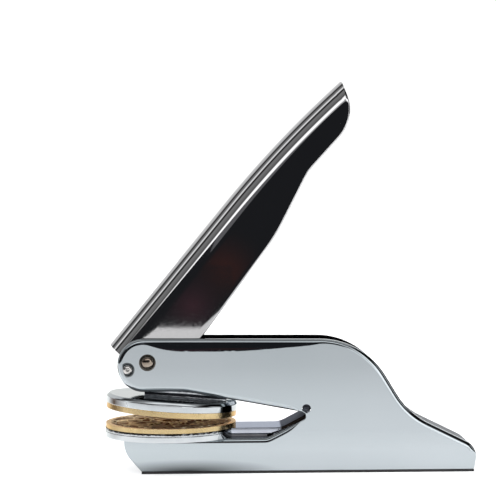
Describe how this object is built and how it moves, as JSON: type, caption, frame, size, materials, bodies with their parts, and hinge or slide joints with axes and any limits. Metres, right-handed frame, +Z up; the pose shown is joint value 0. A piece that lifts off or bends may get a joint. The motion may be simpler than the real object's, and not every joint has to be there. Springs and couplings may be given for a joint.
{
  "type": "seal embosser",
  "caption": "Hand seal embosser: a cam-ended lever between steel side plates presses a leaf-sprung brass die down onto its match on a fixed bed.",
  "frame": {"origin": "centre of the footprint at the underside of the base pad", "axes": "+Z up from the table, +X from the dies to the tail, Y across the body; stored open, lever up"},
  "size_m": [0.124, 0.0446, 0.1306],
  "materials": {
    "plate_chrome": "bright plating, softly rolled edges",
    "lever_chrome": "mirror plating",
    "holder_chrome": "mirror plating",
    "arm_chrome": "bright plating",
    "die_brass": "turned brass, engraved",
    "leaf_steel": "blued spring steel",
    "bed_steel": "dull steel",
    "base_steel": "dull steel",
    "screw_steel": "plain steel",
    "pin_steel": "bright steel",
    "pad_rubber": "matt"
  },
  "bodies": {
    "frame": {"near_side_plate": "plate_chrome", "far_side_plate": "plate_chrome", "rear_spine": "plate_chrome", "base_plate": "base_steel", "base_pad": "pad_rubber", "base_screws": "screw_steel", "die_bed": "bed_steel", "lower_arm": "arm_chrome", "lower_holder": "holder_chrome", "lower_die": "die_brass", "heel_block": "bed_steel", "heel_cap": "bed_steel", "heel_screws": "screw_steel", "pivot_pin": "pin_steel", "pivot_washers": "pin_steel", "stop_pin": "pin_steel", "stop_sleeve": "pin_steel"},
    "upper_arm": {"long_leaf_1": "leaf_steel", "long_leaf_2": "leaf_steel", "short_leaf_1": "leaf_steel", "short_leaf_2": "leaf_steel", "short_leaf_3": "leaf_steel", "upper_holder": "holder_chrome", "upper_die": "die_brass", "upper_rivets": "screw_steel"},
    "lever": {"lever": "lever_chrome", "pivot_sleeve": "pin_steel"}
  },
  "joints": [
    {"name": "lever_pivot", "type": "hinge", "parent": "frame", "child": "lever", "pos_m": [-0.04702, 0, 0.03698], "axis": [0, 1, 0], "range_deg": [0, 48]},
    {"name": "upper_arm_flex", "type": "hinge", "parent": "frame", "child": "upper_arm", "pos_m": [0.0072, 0, 0.0162], "axis": [0, -1, 0], "range_deg": [0, 4.4], "stiffness_Nm_per_rad": 18, "springref_deg": -1.72, "deforming": ["long_leaf_1", "long_leaf_2"]}
  ],
  "couplings": [
    {"joint": "upper_arm_flex", "follows": "lever_pivot", "ratio": 0.09166}
  ]
}
